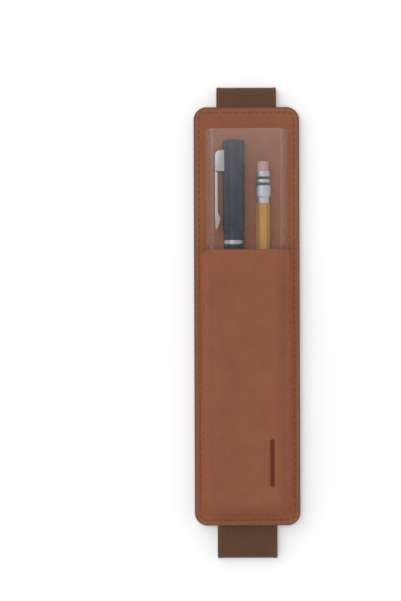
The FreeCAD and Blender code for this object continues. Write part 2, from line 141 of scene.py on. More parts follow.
def start_material(name):
    """A new material, with its tree and its main shader."""
    material = bpy.data.materials.new(name)
    material.use_nodes = True
    return material, material.node_tree, material.node_tree.nodes["Principled BSDF"]


def add_piece(bm, name, material):
    """Makes an object of a finished mesh, smooth except over hard edges."""
    for face in bm.faces:
        face.smooth = True
    mesh = bpy.data.meshes.new(name)
    bm.to_mesh(mesh)
    bm.free()
    mesh.set_sharp_from_angle(angle=sharp_angle)
    mesh.materials.append(material)
    piece = bpy.data.objects.new(name, mesh)
    bpy.context.scene.collection.objects.link(piece)
    return piece


def draw_panel(low, high):
    """A die-cut panel with a round upper edge and a thread groove. Its seam layer grows from the edge in."""
    bm = bmesh.new()
    seam = bm.verts.layers.float.new("seam")
    bmesh.ops.create_grid(bm, x_segments=1, y_segments=1, size=0.5)
    bmesh.ops.scale(bm, vec=(high.x - low.x, high.y - low.y, 1), verts=bm.verts)
    bmesh.ops.translate(bm, vec=((low.x + high.x) / 2, (low.y + high.y) / 2, low.z), verts=bm.verts)
    bmesh.ops.bevel(
        bm, geom=bm.verts[:], offset=panel_corner, affect="VERTICES", segments=14, profile=0.5, material=-1
    )
    lifted = bmesh.ops.extrude_face_region(bm, geom=bm.faces[:])["geom"]
    upper = [item for item in lifted if isinstance(item, bmesh.types.BMVert)]
    bmesh.ops.translate(bm, vec=(0, 0, high.z - low.z), verts=upper)
    rim = [edge for edge in bm.edges if all(vert.co.z > low.z + same_place for vert in edge.verts)]
    bmesh.ops.bevel(
        bm, geom=rim, offset=panel_edge_round, affect="EDGES", segments=3, profile=0.5, material=-1
    )
    bmesh.ops.recalc_face_normals(bm, faces=bm.faces[:])
    top = max(bm.faces, key=lambda face: face.calc_center_median().z)
    reach = panel_edge_round
    rings = (
        (rubbed_rim, 0),
        (groove_out, 0),
        (seam_inset, -seam_dip),
        (groove_in, seam_dip),
        (plain_start, 0),
    )
    for inset, rise in rings:
        bmesh.ops.inset_region(bm, faces=[top], thickness=inset - reach, depth=rise, use_even_offset=True)
        reach = inset
        for vert in top.verts:
            vert[seam] = min(on_seam * inset / seam_inset, plain)
    return bm


leatherette, tree, shader = start_material("leatherette")
place = put(tree, "TexCoord").outputs["Object"]
seam_line = put(tree, "Attribute", attribute_name="seam").outputs["Fac"]
pressed_in = put(tree, "Attribute", attribute_name="pressed").outputs["Fac"]
pebbles = put(
    tree, "TexVoronoi", {"Vector": place, "Scale": 1500.0, "Smoothness": 0.5}, feature="SMOOTH_F1"
).outputs["Distance"]
pores = put(tree, "TexNoise", {"Vector": place, "Scale": 5200.0, "Detail": 2.0}).outputs["Fac"]
creases = put(
    tree, "TexNoise", {"Vector": place, "Scale": 170.0, "Detail": 8.0, "Roughness": 0.64}
).outputs["Fac"]
clouds = put(tree, "TexNoise", {"Vector": place, "Scale": 42.0, "Detail": 3.0}).outputs["Fac"]
hide_colour = ramp(
    tree,
    seam_line,
    [
        (0.0, seen(114, 78, 62)),
        (0.16, seen(132, 89, 69)),
        (0.3, seen(142, 90, 65)),
        # The groove stop is painted a little lighter than plain hide, to offset the shade in the sewn
        # groove.
        (on_seam, seen(145, 88, 60)),
        (plain, seen(140, 86, 61)),
        # The wall stop is painted light: lighter hide that offsets the shade at the foot of the pocket's
        # wall.
        (wall_painted_light, seen(168, 101, 64)),
    ],
)
clouding = vary(tree, clouds, 0.95, 1.05)
creasing = vary(tree, creases, 0.96, 1.04)
pebbling = spread(tree, pebbles, 0.1, 0.6, 1.03, 0.92)
toned = combine(tree, "MULTIPLY", combine(tree, "MULTIPLY", clouding, creasing), pebbling)
hide_colour = mix(tree, pressed_in, shade(tree, hide_colour, toned), seen(96, 46, 29))
fine_pores = combine(tree, "MULTIPLY", pores, 0.3)
grain_height = combine(tree, "ADD", spread(tree, pebbles, 0.0, 0.6, 1.0, 0.0), fine_pores)
grain_height = combine(tree, "ADD", grain_height, creases)
grain = put(tree, "Bump", {"Strength": 0.45, "Distance": 0.2 * mm, "Height": grain_height})
fill(
    tree,
    shader,
    {
        "Base Color": hide_colour,
        "Roughness": spread(tree, pebbles, 0.1, 0.6, 0.5, 0.66),
        "Specular IOR Level": 0.13,
        "Normal": grain.outputs["Normal"],
    },
)

pouch_low, pouch_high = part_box("back_panel")
half_width = pouch_high.x
bm = draw_panel(pouch_low, pouch_high)
bmesh.ops.scale(
    bm, vec=(1, 1, -1), space=Matrix.Translation((0, 0, -(pouch_low.z + pouch_high.z) / 2)), verts=bm.verts
)
bmesh.ops.recalc_face_normals(bm, faces=bm.faces[:])
back_panel = add_piece(bm, "back_leather", leatherette)
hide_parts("back_panel")
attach(back_panel, "pouch")

# Stiffener board
# A thin board glued between the skins. Only its edge shows, coated with the edge paint
# that closes the sandwich of leatherette, board and leatherette.


def dress(material, *nodes):
    """Gives CAD nodes a material."""
    for node in nodes:
        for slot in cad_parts[node].material_slots:
            slot.material = material


edge_paint, tree, shader = start_material("edge_paint")
place = put(tree, "TexCoord").outputs["Object"]
brushing = put(tree, "TexNoise", {"Vector": place, "Scale": 900.0, "Detail": 4.0}).outputs["Fac"]
fill(
    tree,
    shader,
    {
        "Base Color": shade(tree, seen(100, 61, 43), vary(tree, brushing, 0.85, 1.1)),
        "Roughness": vary(tree, brushing, 0.5, 0.65),
        "Specular IOR Level": 0.2,
        "Normal": put(tree, "Bump", {"Strength": 0.2, "Distance": 0.1 * mm, "Height": brushing}).outputs[0],
    },
)
dress(edge_paint, "stiffener_board")

# Elastic band
# One length of 30 mm woven elastic: ribs of covered rubber run along it, with picks of yarn across them.
# Both ends are sewn in between the skins, and the loop holds the notebook.

band_low, band_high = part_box("band_back")
band_half = band_high.x
band_thick = band_high.z - band_low.z
top_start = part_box("band_top_anchor")[0]
bottom_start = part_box("band_bottom_anchor")[1]
bend_y = band_high.y
bend_z = (top_start.z + band_thick) / 2
bend_middle = bend_z - band_thick / 2
band_round = 0.42 * band_thick
selvedge = 1.6 * mm
web_start = 1.3 * selvedge
web_thinning = 0.12 * mm
top_steps = 6
bend_steps = 24
back_steps = 40
bottom_steps = 8


def push(bm, geom, move, steps):
    """Draws geometry on in a straight line, and gives what stands at its far end."""
    step = Vector(move) / steps
    made = bmesh.ops.spin(bm, geom=geom, cent=(0, 0, 0), axis=(0, 0, 1), dvec=step, angle=0, steps=steps)
    return made["geom_last"]


def swing(bm, geom, centre, axis, degrees, steps):
    """Draws geometry on around an axis, and gives what stands at its far end."""
    angle = math.radians(degrees)
    made = bmesh.ops.spin(
        bm, geom=geom, cent=centre, axis=axis, dvec=(0, 0, 0), angle=angle, steps=steps
    )
    return made["geom_last"]


def edges_of(geom):
    """The edges among some geometry."""
    return [item for item in geom if isinstance(item, bmesh.types.BMEdge)]


bm = bmesh.new()
bmesh.ops.create_grid(bm, x_segments=1, y_segments=1, size=0.5)
bmesh.ops.scale(bm, vec=(2 * band_half, band_thick, 1), verts=bm.verts)
bmesh.ops.bevel(
    bm, geom=bm.verts[:], offset=band_round, affect="VERTICES", segments=3, profile=0.5, material=-1
)
for x in (band_half - selvedge, band_half - web_start):
    for side in (-1, 1):
        bmesh.ops.bisect_plane(
            bm, geom=bm.verts[:] + bm.edges[:] + bm.faces[:], plane_co=(side * x, 0, 0), plane_no=(1, 0, 0)
        )
for vert in bm.verts:
    if abs(vert.co.x) < band_half - (selvedge + web_start) / 2:
        vert.co.y -= math.copysign(web_thinning, vert.co.y)
bmesh.ops.delete(bm, geom=bm.faces[:], context="FACES_ONLY")
crossings = []
for edge in bm.edges:
    upright = abs(edge.verts[0].co.x - edge.verts[1].co.x) < same_place
    if upright and edge.calc_length() > band_thick / 2:
        crossings.append(edge)
bmesh.ops.delete(bm, geom=crossings, context="EDGES")
wide = [edge for edge in bm.edges if edge.calc_length() > band_half]
bmesh.ops.subdivide_edges(bm, edges=wide, cuts=12)
bmesh.ops.rotate(bm, cent=(0, 0, 0), matrix=Matrix.Rotation(math.pi / 2, 3, "X"), verts=bm.verts)
bmesh.ops.translate(bm, vec=(0, top_start.y, top_start.z + band_thick / 2), verts=bm.verts)
strip_start = bm.edges[:]
strip = push(bm, strip_start, (0, bend_y - top_start.y, 0), top_steps)
strip = swing(bm, strip, (0, bend_y, bend_z), (1, 0, 0), -180, bend_steps)
strip = push(bm, strip, (0, -2 * bend_y, 0), back_steps)
strip = swing(bm, strip, (0, -bend_y, bend_z), (1, 0, 0), -180, bend_steps)
strip = push(bm, strip, (0, bottom_start.y + bend_y, 0), bottom_steps)
for end in (strip_start, edges_of(strip)):
    bmesh.ops.edgeloop_fill(bm, edges=end)
bmesh.ops.remove_doubles(bm, verts=bm.verts, dist=weld)
bmesh.ops.recalc_face_normals(bm, faces=bm.faces[:])

along = bm.verts.layers.float.new("along")
half_turn = math.pi * bend_middle
for vert in bm.verts:
    x, y, z = vert.co
    turned = math.atan2(abs(y) - bend_y, z - bend_z) * bend_middle if abs(y) > bend_y else None
    if turned is None and z < bend_z:
        vert[along] = y
    elif turned is None:
        vert[along] = math.copysign(bend_y + half_turn + bend_y - abs(y), y)
    else:
        vert[along] = math.copysign(bend_y + half_turn - turned, y)

elastic, tree, shader = start_material("woven_elastic")
place = put(tree, "TexCoord").outputs["Object"]
across_band = put(tree, "SeparateXYZ", {0: place}).outputs["X"]
along_band = put(tree, "Attribute", attribute_name="along").outputs["Fac"]
rib_pitch = 0.95 * mm
pick_pitch = 0.7 * mm
rib_count = combine(tree, "MULTIPLY", across_band, 1 / rib_pitch)
rib_wave = put(tree, "Math", {0: rib_count, 1: 0.5}, operation="PINGPONG").outputs[0]
rib_number = put(tree, "Math", {0: rib_count}, operation="FLOOR").outputs[0]
odd_rib = combine(tree, "FLOORED_MODULO", rib_number, 2.0)
pick_count = combine(tree, "MULTIPLY", along_band, 1 / pick_pitch)
pick_shift = combine(tree, "MULTIPLY", odd_rib, 0.5)
pick_wave = put(
    tree, "Math", {0: combine(tree, "ADD", pick_count, pick_shift), 1: 0.5}, operation="PINGPONG"
).outputs[0]
rib_crown = spread(tree, rib_wave, 0.0, 0.22, 0.0, 1.0)
pick_crown = spread(tree, pick_wave, 0.0, 0.3, 0.45, 1.0)
woven = combine(tree, "MULTIPLY", rib_crown, pick_crown)
from_middle = put(tree, "Math", {0: across_band}, operation="ABSOLUTE").outputs[0]
ribs_end = band_half - 1.35 * selvedge
edge_start = band_half - 1.1 * selvedge
edge_yarn = spread(tree, from_middle, ribs_end, edge_start, 1.0, 1.12)
fuzz = put(tree, "TexNoise", {"Vector": place, "Scale": 2600.0, "Detail": 4.0}).outputs["Fac"]
fading = put(tree, "TexNoise", {"Vector": place, "Scale": 60.0, "Detail": 3.0}).outputs["Fac"]
yarn_tone = combine(
    tree, "MULTIPLY", spread(tree, woven, 0.0, 1.0, 0.62, 1.12), vary(tree, fuzz, 0.9, 1.1)
)
yarn_tone = combine(tree, "MULTIPLY", yarn_tone, vary(tree, fading, 0.92, 1.08))
yarn_tone = combine(tree, "MULTIPLY", yarn_tone, edge_yarn)
weave_height = combine(tree, "ADD", woven, combine(tree, "MULTIPLY", fuzz, 0.3))
weave = put(tree, "Bump", {"Strength": 0.5, "Distance": 0.2 * mm, "Height": weave_height})
fill(
    tree,
    shader,
    {
        "Base Color": shade(tree, seen(92, 64, 46), yarn_tone),
        "Roughness": vary(tree, fuzz, 0.8, 0.95),
        "Specular IOR Level": 0.25,
        "Sheen Weight": 0.15,
        "Normal": weave.outputs["Normal"],
    },
)
band = add_piece(bm, "elastic_band", elastic)
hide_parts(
    "band_top_anchor", "band_top_bend", "band_back", "band_bottom_bend", "band_bottom_anchor"
)
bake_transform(band)

# Facing panel
# The skin behind the pen and pencil, seen above the pocket: the same leatherette,
# sewn to the back panel all round.

facing_low, facing_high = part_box("facing_panel")
facing = add_piece(draw_panel(facing_low, facing_high), "facing_leather", leatherette)
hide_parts("facing_panel")
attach(facing, "pouch")

# Pocket lining
# Thin woven lining glued inside the pocket, formed with it over the same block
# so that it follows the flat front, the round shoulders and the two lower corners.

bed = facing_high.z
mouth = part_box("front_pocket")[1].y
mouth_strip_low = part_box("mouth_facing")[0].y
corner_x = 12.95 * mm
corner_y = -88.15 * mm
wall_lean = math.radians(14)
hollow_foot = 8.0 * mm
hollow_depth = 12.95 * mm
hollow_shoulder = 5.0 * mm
lining_thickness = 0.5 * mm
lining_outset = 0.55 * mm


def line_to(bm, tip, place):
    """Draws a straight line from a vertex."""
    made = bmesh.ops.extrude_vert_indiv(bm, verts=[tip])["verts"][0]
    made.co = place
    return made


def spot(reach, height, y):
    """A point of the left section: how far out from the corner's axis, and how high over the bed."""
    return Vector((-corner_x - reach, y, bed + height))


def last_vert(geom):
    """The vertex among some geometry."""
    return next(item for item in geom if isinstance(item, bmesh.types.BMVert))


def draw_dome(bm, tip, outset, y):
    """Carries a section up the leaning wall and over the shoulder to where the flat front starts."""
    foot = hollow_foot + outset / math.cos(wall_lean)
    radius = hollow_shoulder + outset
    height = hollow_depth + outset - radius
    reach = foot - height * math.tan(wall_lean) - radius / math.cos(wall_lean)
    wall_top = spot(reach + radius * math.cos(wall_lean), height + radius * math.sin(wall_lean), y)
    tip = line_to(bm, tip, wall_top)
    turn = 90 - math.degrees(wall_lean)
    tip = last_vert(swing(bm, [tip], spot(reach, height, y), (0, 1, 0), turn, 14))
    line_to(bm, tip, spot(0, height + radius, y))


def sweep_tray(bm, y_mouth):
    """Sweeps a section down the left, round both corners and up the right, and closes the front."""
    long_steps = 62
    corner_steps = 32
    front_steps = 13
    run = y_mouth - corner_y
    ring = push(bm, bm.edges[:], (0, -run, 0), long_steps)
    ring = swing(bm, ring, (-corner_x, corner_y, 0), (0, 0, 1), 90, corner_steps)
    ring = push(bm, ring, (2 * corner_x, 0, 0), front_steps)
    ring = swing(bm, ring, (corner_x, corner_y, 0), (0, 0, 1), 90, corner_steps)
    push(bm, ring, (0, run, 0), long_steps)
    bmesh.ops.remove_doubles(bm, verts=bm.verts, dist=weld)
    rails = []
    for edge in bm.edges:
        on_rail = all(abs(abs(vert.co.x) - corner_x) < same_place for vert in edge.verts)
        if edge.is_boundary and on_rail and abs(edge.verts[0].co.x - edge.verts[1].co.x) < same_place:
            rails.append(edge)
    bridged = bmesh.ops.bridge_loops(bm, edges=rails)
    rungs = [edge for edge in bridged["edges"] if edge.calc_length() > corner_x]
    bmesh.ops.subdivide_edges(bm, edges=rungs, cuts=front_steps - 1, use_grid_fill=True)
    bmesh.ops.remove_doubles(bm, verts=bm.verts, dist=weld)
    bmesh.ops.recalc_face_normals(bm, faces=bm.faces[:])
    highest = max(bm.faces, key=lambda face: face.calc_center_median().z)
    if highest.normal.z < 0:
        bmesh.ops.reverse_faces(bm, faces=bm.faces[:])


bm = bmesh.new()
foot = bm.verts.new(spot(hollow_foot + lining_outset / math.cos(wall_lean), 0, mouth_strip_low))
draw_dome(bm, foot, lining_outset, mouth_strip_low)
sweep_tray(bm, mouth_strip_low)

lining_cloth, tree, shader = start_material("lining_cloth")
place = put(tree, "TexCoord").outputs["Object"]
yarn = {"Vector": place, "Scale": 900.0, "Distortion": 0.6}
warp = put(tree, "TexWave", yarn, bands_direction="X").outputs["Fac"]
weft = put(tree, "TexWave", yarn, bands_direction="Y").outputs["Fac"]
crossed = combine(tree, "MULTIPLY", warp, weft)
fill(
    tree,
    shader,
    {
        "Base Color": shade(tree, seen(84, 62, 48), spread(tree, crossed, 0.0, 1.0, 0.75, 1.15)),
        "Roughness": spread(tree, crossed, 0.0, 1.0, 0.9, 0.75),
        "Specular IOR Level": 0.2,
        "Normal": put(tree, "Bump", {"Strength": 0.4, "Distance": 0.1 * mm, "Height": crossed}).outputs[0],
    },
)
lining = add_piece(bm, "lining_cloth", lining_cloth)
lining_wall = lining.modifiers.new("wall", "SOLIDIFY")
lining_wall.thickness = lining_thickness
lining_wall.offset = -1
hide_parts("pocket_lining")
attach(lining, "pouch")

# Front pocket
# One piece of leatherette moulded over a block, with a flat sewn margin round three sides.
# Its mouth is turned in, and a plain bar is pressed into the front near the lower right corner.

pocket_leather = 1.0 * mm
pocket_outset = 1.6 * mm
margin_reach = half_width - corner_x
flare = 1.2 * mm
flare_foot = 0.6 * mm
lip_edge = 0.5 * mm
lip_depth = 1.5 * mm
turned_lip = 0.22
stamp_x = 12.2 * mm
stamp_low = -80.5 * mm
stamp_high = -58.9 * mm
stamp_half = 1.2 * mm
stamp_depth = 0.3 * mm
stamp_slope_in = 0.3 * mm
stamp_slope_out = 0.1 * mm
stamp_clear = 3.0 * mm
softness = 0.2 * mm
waves_per_metre = 38
groove_end = 3.15 * mm


def outline_reach(angle, inset):
    """How far the pouch's outline, moved in by an inset, is from the pocket's corner axis at an angle."""
    centre = margin_reach - panel_corner
    side = margin_reach - inset
    radius = panel_corner - inset
    near, far = sorted((abs(math.cos(angle)), abs(math.sin(angle))))
    if side * near / far <= centre:
        return side / far
    return centre * (near + far) + math.sqrt(radius ** 2 - (centre * (far - near)) ** 2)


def soft_step(value, low, high):
    """0 below low, 1 above high, and smooth in between."""
    share = min(max((value - low) / (high - low), 0), 1)
    return share * share * (3 - 2 * share)


bm = bmesh.new()
seam = bm.verts.layers.float.new("seam")
pressed = bm.verts.layers.float.new("pressed")
tip = bm.verts.new(spot(margin_reach, pocket_leather, mouth))
for inset in (lip_edge, rubbed_rim, groove_out, seam_inset, groove_end):
    tip = line_to(bm, tip, spot(margin_reach - inset, pocket_leather, mouth))
    tip[seam] = on_seam * inset / seam_inset
margin_seam = on_seam * groove_end / seam_inset
foot = hollow_foot + pocket_outset / math.cos(wall_lean)
flare_height = pocket_leather + flare
flare_reach = foot - flare_height * math.tan(wall_lean) + flare / math.cos(wall_lean)
tip = line_to(bm, tip, spot(flare_reach, pocket_leather, mouth))
tip[seam] = plain
flare_turn = math.degrees(wall_lean) - 90
tip = last_vert(swing(bm, [tip], spot(flare_reach, flare_height, mouth), (0, 1, 0), flare_turn, 5))
draw_dome(bm, tip, pocket_outset, mouth)
# Up the pocket's wall the seam layer moves toward the wall's painted light, strongest at the foot where
# shade falls, then back to plain hide over the front.
for vert in bm.verts:
    over_margin = vert.co.z - bed - pocket_leather
    if over_margin > same_place:
        pull = soft_step(over_margin, 0, flare_foot) - soft_step(over_margin, flare, hollow_depth)
        vert[seam] = plain + (wall_painted_light - plain) * pull
sweep_tray(bm, mouth)

for vert in bm.verts:
    out_x = abs(vert.co.x) - corner_x
    out_y = corner_y - vert.co.y
    if vert[seam] <= margin_seam + seam_slack and out_x > 0 and out_y > 0:
        angle = math.atan2(out_y, out_x)
        reach = outline_reach(angle, vert[seam] * seam_inset / on_seam)
        vert.co.x = math.copysign(corner_x + reach * math.cos(angle), vert.co.x)
        vert.co.y = corner_y - reach * math.sin(angle)

for inset in (lip_edge, lip_depth):
    everything = bm.verts[:] + bm.edges[:] + bm.faces[:]
    bmesh.ops.bisect_plane(bm, geom=everything, plane_co=(0, mouth - inset, 0), plane_no=(0, 1, 0))
bm.normal_update()
groove = []
for vert in bm.verts:
    over_bed = vert.co.z - bed
    if over_bed > flare_height:
        lift = noise.noise(vert.co * waves_per_metre) * softness
        lift *= soft_step(over_bed, flare_height, 3 * flare_height)
        vert.co += vert.normal * lift
    elif abs(vert[seam] - on_seam) < seam_slack:
        groove.append(vert)
    past_lip = max(mouth - vert.co.y - lip_edge, 0) / (lip_depth - lip_edge)
    vert[seam] = min(vert[seam], turned_lip + (plain - turned_lip) * past_lip)

thickened = bmesh.ops.solidify(bm, geom=bm.faces[:], thickness=pocket_leather)["geom"]
inner_side = {item for item in thickened if isinstance(item, bmesh.types.BMVert)}
cut_edges = [edge for edge in bm.edges if edge.calc_face_angle() > sharp_angle]
bm.normal_update()
for vert in groove:
    vert.co.z -= seam_dip

half_way_up = bed + hollow_depth / 2
stamped = []
for edge in bm.edges:
    beside = all(abs(vert.co.x - stamp_x) < stamp_clear for vert in edge.verts)
    level = all(stamp_low - stamp_clear < vert.co.y < stamp_high + stamp_clear for vert in edge.verts)
    outside = all(vert not in inner_side for vert in edge.verts)
    if beside and level and outside and edge.verts[0].co.z > half_way_up:
        stamped.append(edge)
bmesh.ops.subdivide_edges(bm, edges=stamped, cuts=4, use_grid_fill=True)
bm.normal_update()
for vert in bm.verts:
    if vert.co.z > half_way_up and vert.normal.z > 0:
        nearest_y = min(max(vert.co.y, stamp_low), stamp_high)
        from_bar = math.hypot(vert.co.x - stamp_x, vert.co.y - nearest_y) - stamp_half
        vert[pressed] = 1 - soft_step(from_bar, -stamp_slope_in, stamp_slope_out)
        vert.co -= vert.normal * vert[pressed] * stamp_depth

many_sided = [face for face in bm.faces if len(face.verts) > 4]
bmesh.ops.triangulate(bm, faces=many_sided, ngon_method="BEAUTY")
bmesh.ops.bevel(
    bm, geom=cut_edges, offset=panel_edge_round, affect="EDGES", segments=3, profile=0.5, material=-1
)
pocket = add_piece(bm, "pocket_leather", leatherette)
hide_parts("front_pocket")
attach(pocket, "pouch")

# Mouth facing
# A strip of the same leatherette glued in behind the pocket's lip.
# It keeps the mouth stiff, so that a pen goes in with one hand.

strip_outset = 0.58 * mm
strip_thickness = 0.55 * mm
strip_setback = 0.3 * mm
strip_tone = 0.2
strip_top = mouth - strip_setback
bm = bmesh.new()
seam = bm.verts.layers.float.new("seam")
foot = bm.verts.new(spot(hollow_foot + strip_outset / math.cos(wall_lean), 0, strip_top))
draw_dome(bm, foot, strip_outset, strip_top)
bmesh.ops.mirror(bm, geom=bm.verts[:] + bm.edges[:], axis="X", merge_dist=0)
ends = [vert for vert in bm.verts if len(vert.link_edges) == 1 and vert.co.z > bed + hollow_depth]
bm.edges.new(ends)
for vert in bm.verts:
    vert[seam] = strip_tone
push(bm, bm.edges[:], (0, mouth_strip_low - strip_top, 0), 6)
bmesh.ops.recalc_face_normals(bm, faces=bm.faces[:])
highest = max(bm.faces, key=lambda face: face.calc_center_median().z)
if highest.normal.z < 0:
    bmesh.ops.reverse_faces(bm, faces=bm.faces[:])
mouth_strip = add_piece(bm, "mouth_strip", leatherette)
strip_wall = mouth_strip.modifiers.new("wall", "SOLIDIFY")
strip_wall.thickness = strip_thickness
strip_wall.offset = -1
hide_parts("mouth_facing")
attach(mouth_strip, "pouch")

# Sewing
# Brown polyester thread in a lock stitch, 3.4 mm to the stitch, once round the edge through all the layers.
# It shows front and back, and each stitch is pulled down into the leatherette at its ends.

stitch_pitch = 3.4 * mm
stitch_size = Vector((0.48 * mm, 0.32 * mm, 1.3 * mm))
stitch_rise = 0.06 * mm


def sew(bm, place, heading, outward):
    """One stitch, long along its heading and half sunk."""
    across = outward.cross(heading).normalized()
    turn = Matrix((across, outward, heading)).transposed().to_4x4()
    size = Matrix.Diagonal((*stitch_size, 1))
    bmesh.ops.create_uvsphere(
        bm, u_segments=8, v_segments=6, radius=1, matrix=Matrix.Translation(place) @ turn @ size
    )


def edge_seam(distance):
    """The place and heading on the seam round the edge, from the end of its lower run."""
    radius = panel_corner - seam_inset
    corner = radius * math.pi / 2
    long_run = pouch_high.y - pouch_low.y - 2 * panel_corner
    short_run = 2 * (half_width - panel_corner)
    place = Vector((half_width - panel_corner, pouch_low.y + seam_inset, 0))
    heading = Vector((1, 0, 0))
    up = Vector((0, 0, 1))
    for run in (long_run, short_run, long_run, short_run):
        inward = up.cross(heading)
        turned = min(distance / radius, math.pi / 2)
        place = place + inward * radius * (1 - math.cos(turned)) + heading * radius * math.sin(turned)
        heading = heading * math.cos(turned) + inward * math.sin(turned)
        distance -= corner
        if distance < 0:
            break
        place = place + heading * min(distance, run)
        distance -= run
        if distance < 0:
            break
    return place, heading


seam_length = 2 * (pouch_high.y - pouch_low.y + 2 * half_width) - (8 - 2 * math.pi) * panel_corner
seam_length -= 2 * math.pi * seam_inset
stitch_count = round(seam_length / stitch_pitch)
front_seam = bmesh.new()
back_seam = bmesh.new()
for number in range(stitch_count):
    place, heading = edge_seam(seam_length * number / stitch_count)
    on_pocket = place.y < mouth
    front_z = bed + (pocket_leather if on_pocket else 0) - seam_dip + stitch_rise
    back_z = pouch_low.z + seam_dip - stitch_rise
    sew(front_seam, Vector((place.x, place.y, front_z)), heading, Vector((0, 0, 1)))
    sew(back_seam, Vector((place.x, place.y, back_z)), heading, Vector((0, 0, -1)))

thread, tree, shader = start_material("thread")
place = put(tree, "TexCoord").outputs["Object"]
fibres = put(tree, "TexNoise", {"Vector": place, "Scale": 4200.0, "Detail": 3.0}).outputs["Fac"]
fill(
    tree,
    shader,
    {
        "Base Color": shade(tree, seen(115, 67, 46), vary(tree, fibres, 0.75, 1.2)),
        "Roughness": vary(tree, fibres, 0.55, 0.75),
        "Normal": put(tree, "Bump", {"Strength": 0.4, "Distance": 0.05 * mm, "Height": fibres}).outputs[0],
    },
)
for stitches, name in ((front_seam, "edge_stitches"), (back_seam, "back_stitches")):
    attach(add_piece(stitches, name, thread), "pouch")

# Clear cover
# A sheet of clear vinyl bent over the pen and pencil and tucked into the pocket.
# It is faintly milky, more so towards its free end.


def handling_marks():
    """Fine scratches and smudges that handling leaves on smooth things."""
    group = bpy.data.node_groups.new("handling_marks", "ShaderNodeTree")
    group.interface.new_socket("Across", in_out="INPUT", socket_type="NodeSocketFloat")
    group.interface.new_socket("Smudge", in_out="OUTPUT", socket_type="NodeSocketFloat")
    group.interface.new_socket("Scratch", in_out="OUTPUT", socket_type="NodeSocketFloat")
    given = group.nodes.new("NodeGroupInput")
    result = group.nodes.new("NodeGroupOutput")
    where = put(group, "TexCoord").outputs["Object"]
    smudge = put(group, "TexNoise", {"Vector": where, "Scale": 130.0, "Detail": 5.0, "Roughness": 0.6})
    drawn = put(group, "Mapping", {"Vector": where, "Scale": (1.0, 0.06, 1.0)})
    scratch = put(group, "TexNoise", {"Vector": drawn.outputs[0], "Detail": 2.0, "Scale": given.outputs[0]})
    group.links.new(smudge.outputs["Fac"], result.inputs["Smudge"])
    group.links.new(scratch.outputs["Fac"], result.inputs["Scratch"])
    return group


marks = handling_marks()


def add_marks(tree, across):
    """The handling marks in a material: its smudges and its scratches, so many across a metre."""
    node = put(tree, "Group", node_tree=marks)
    node.inputs["Across"].default_value = across
    return node.outputs["Smudge"], node.outputs["Scratch"]


film, tree, shader = start_material("clear_film")
coordinates = put(tree, "TexCoord").outputs
smudge, scratch = add_marks(tree, 2500.0)
film_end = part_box("clear_cover")[1].y
along_film = put(tree, "SeparateXYZ", {0: coordinates["Object"]}).outputs["Y"]
# The film grows milkier towards its free end.
toward_free_end = combine(tree, "POWER", spread(tree, along_film, mouth, film_end, 0.0, 1.0), 2.0)
upward = put(tree, "SeparateXYZ", {0: coordinates["Normal"]}).outputs["Z"]
levelness = put(tree, "Math", {0: upward}, operation="ABSOLUTE").outputs[0]
on_front = spread(tree, levelness, 0.2, 0.9, 0.9, 1.0)
milky = combine(tree, "MULTIPLY", spread(tree, toward_free_end, 0.0, 1.0, 0.02, 0.062), on_front)
milky = combine(tree, "MULTIPLY", milky, vary(tree, smudge, 0.8, 1.2))
glancing = put(tree, "Fresnel", {"IOR": 1.45}).outputs[0]
fill(
    tree,
    shader,
    {
        "Base Color": (0.78, 0.75, 0.71, 1.0),
        "Roughness": vary(tree, scratch, 0.15, 0.23),
        "Alpha": combine(tree, "ADD", milky, combine(tree, "MULTIPLY", glancing, 0.08)),
    },
)
dress(film, "clear_cover")

# Pen cap
# Turned and polished from dark blue-black resin, with a groove and a collar above its bright ring.
# It pushes on over the grip, and its closed end is rounded over.


def turn(profile, axis):
    """A piece turned on a lathe, from (radius, place along the axis, rounding) points of its section."""
    bm = bmesh.new()
    points = [bm.verts.new((axis.x + radius, y, axis.z)) for radius, y, rounding in profile]
    for first, second in zip(points, points[1:]):
        bm.edges.new((first, second))
    if profile[0][0] > 0:
        bm.edges.new((points[-1], points[0]))
    for point, (radius, y, rounding) in zip(points, profile):
        if rounding > 0:
            bmesh.ops.bevel(
                bm, geom=[point], offset=rounding, affect="VERTICES", segments=5, profile=0.5, material=-1
            )
    bmesh.ops.spin(
        bm, geom=bm.edges[:], cent=axis, axis=(0, 1, 0), angle=math.tau, steps=72, use_merge=True
    )
    bmesh.ops.remove_doubles(bm, verts=bm.verts, dist=weld)
    bmesh.ops.recalc_face_normals(bm, faces=bm.faces[:])
    return bm


resin, tree, shader = start_material("polished_resin")
smudge, scratch = add_marks(tree, 3000.0)
fill(
    tree,
    shader,
    {
        "Base Color": shade(tree, (0.007, 0.013, 0.031, 1.0), vary(tree, smudge, 0.85, 1.2)),
        "Roughness": vary(tree, scratch, 0.2, 0.28),
        "Specular IOR Level": 0.2,
    },
)
cap_low, cap_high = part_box("pen_cap")
pen_axis = (cap_low + cap_high) / 2
cap_radius = cap_high.x - pen_axis.x
cap_bore = cap_radius - 1.0 * mm
ring_seat = cap_radius - 0.6 * mm
collar_radius = cap_radius - 0.4 * mm
groove_radius = cap_radius - 0.7 * mm
ring_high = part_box("cap_ring")[1].y
groove_low = ring_high + 2.8 * mm
groove_high = groove_low + 1.5 * mm
cap_ceiling = cap_high.y - 2.0 * mm
cap = add_piece(
    turn(
        [
            (0, cap_ceiling, 0),
            (cap_bore, cap_ceiling, 0),
            (cap_bore, cap_low.y, 0.1 * mm),
            (ring_seat, cap_low.y, 0.25 * mm),
            (ring_seat, ring_high, 0),
            (collar_radius, ring_high, 0.12 * mm),
            (collar_radius, groove_low, 0.2 * mm),
            (groove_radius, groove_low, 0),
            (groove_radius, groove_high, 0),
            (cap_radius, groove_high, 0.3 * mm),
            (cap_radius, cap_high.y, 1.5 * mm),
            (0, cap_high.y, 0),
        ],
        pen_axis,
    ),
    "cap_shell",
    resin,
)
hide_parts("pen_cap")
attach(cap, "cap")

# Cap ring
# A bright plated brass band, rolled over at its edges and pressed on near the cap's mouth.

